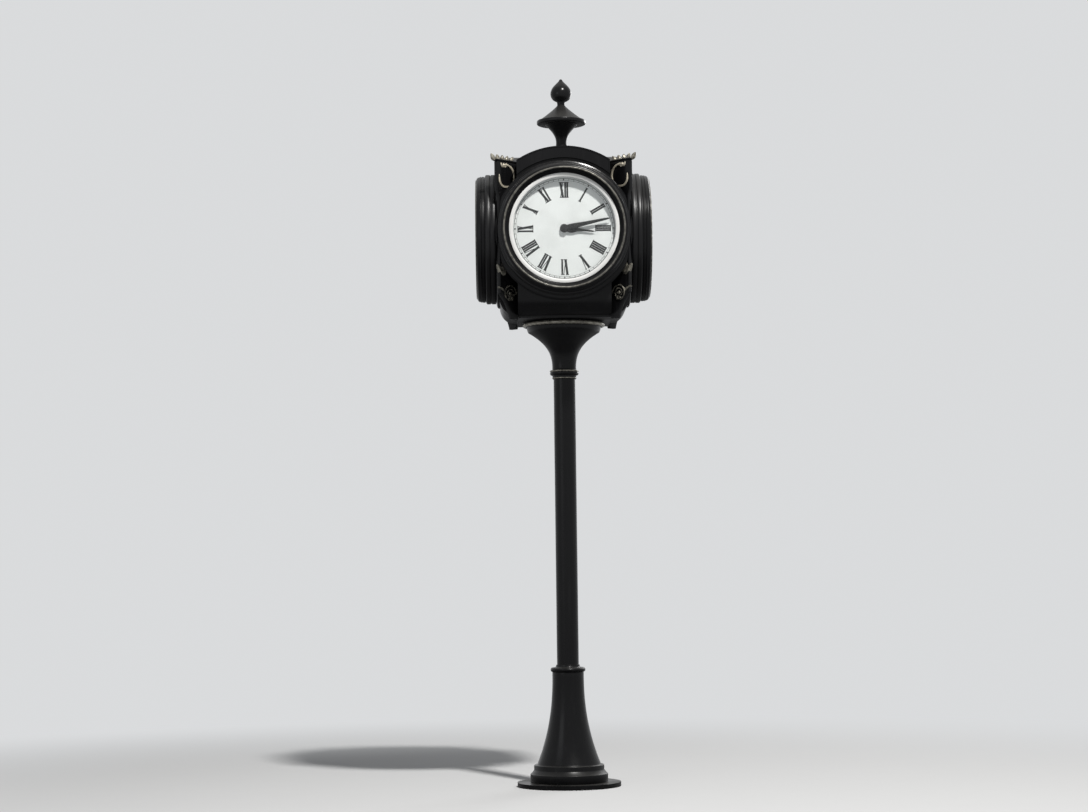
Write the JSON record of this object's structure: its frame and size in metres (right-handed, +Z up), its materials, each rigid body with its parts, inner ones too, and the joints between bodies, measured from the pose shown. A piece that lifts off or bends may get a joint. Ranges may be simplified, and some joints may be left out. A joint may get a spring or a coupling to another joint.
{
  "type": "street post clock",
  "caption": "Street clock with round dials on every side of a cross-shaped head, scrolled corner consoles and a turned finial, on a trumpet capital, a plain round post and a cast base.",
  "frame": {"origin": "on the ground, under the middle of the post", "axes": "+Z up, -Y towards the viewer in the picture, which is where the front dial faces"},
  "size_m": [1.228, 1.228, 4.972],
  "materials": {
    "iron": "gloss black paint",
    "bezel": "gloss black paint",
    "dial": "matt white enamel",
    "glass": "clear",
    "hands": "satin black paint"
  },
  "bodies": {
    "clock": {"base_flange": "iron", "pedestal": "iron", "pedestal_collar": "iron", "post": "iron", "neck_ring": "iron", "capital": "iron", "head_base": "iron", "roof": "iron", "finial_stem": "iron", "finial_hat": "iron", "finial_ball": "iron", "front_case": "iron", "right_case": "iron", "back_case": "iron", "left_case": "iron", "front_right_console": "iron", "back_right_console": "iron", "back_left_console": "iron", "front_left_console": "iron", "front_bezel": "bezel", "right_bezel": "bezel", "back_bezel": "bezel", "left_bezel": "bezel", "front_glass": "glass", "right_glass": "glass", "back_glass": "glass", "left_glass": "glass", "front_dial": "dial", "right_dial": "dial", "back_dial": "dial", "left_dial": "dial", "front_arbor": "hands", "right_arbor": "hands", "back_arbor": "hands", "left_arbor": "hands"},
    "front_hour_hand": {"front_hour_hand": "hands"},
    "front_minute_hand": {"front_minute_hand": "hands"},
    "right_hour_hand": {"right_hour_hand": "hands"},
    "right_minute_hand": {"right_minute_hand": "hands"},
    "back_hour_hand": {"back_hour_hand": "hands"},
    "back_minute_hand": {"back_minute_hand": "hands"},
    "left_hour_hand": {"left_hour_hand": "hands"},
    "left_minute_hand": {"left_minute_hand": "hands"}
  },
  "joints": [
    {"name": "front_minute_turn", "type": "hinge", "parent": "clock", "child": "front_minute_hand", "pos_m": [0, -0.53, 3.83], "axis": [0, 1, 0], "continuous": true},
    {"name": "front_hour_turn", "type": "hinge", "parent": "clock", "child": "front_hour_hand", "pos_m": [0, -0.53, 3.83], "axis": [0, 1, 0], "continuous": true},
    {"name": "right_minute_turn", "type": "hinge", "parent": "clock", "child": "right_minute_hand", "pos_m": [0.53, 0, 3.83], "axis": [-1, 0, 0], "continuous": true},
    {"name": "right_hour_turn", "type": "hinge", "parent": "clock", "child": "right_hour_hand", "pos_m": [0.53, 0, 3.83], "axis": [-1, 0, 0], "continuous": true},
    {"name": "back_minute_turn", "type": "hinge", "parent": "clock", "child": "back_minute_hand", "pos_m": [0, 0.53, 3.83], "axis": [0, -1, 0], "continuous": true},
    {"name": "back_hour_turn", "type": "hinge", "parent": "clock", "child": "back_hour_hand", "pos_m": [0, 0.53, 3.83], "axis": [0, -1, 0], "continuous": true},
    {"name": "left_minute_turn", "type": "hinge", "parent": "clock", "child": "left_minute_hand", "pos_m": [-0.53, 0, 3.83], "axis": [1, 0, 0], "continuous": true},
    {"name": "left_hour_turn", "type": "hinge", "parent": "clock", "child": "left_hour_hand", "pos_m": [-0.53, 0, 3.83], "axis": [1, 0, 0], "continuous": true}
  ],
  "couplings": [
    {"joint": "front_hour_turn", "follows": "front_minute_turn", "ratio": 0.083333},
    {"joint": "right_minute_turn", "follows": "front_minute_turn", "ratio": 1},
    {"joint": "right_hour_turn", "follows": "front_minute_turn", "ratio": 0.083333},
    {"joint": "back_minute_turn", "follows": "front_minute_turn", "ratio": 1},
    {"joint": "back_hour_turn", "follows": "front_minute_turn", "ratio": 0.083333},
    {"joint": "left_minute_turn", "follows": "front_minute_turn", "ratio": 1},
    {"joint": "left_hour_turn", "follows": "front_minute_turn", "ratio": 0.083333}
  ]
}
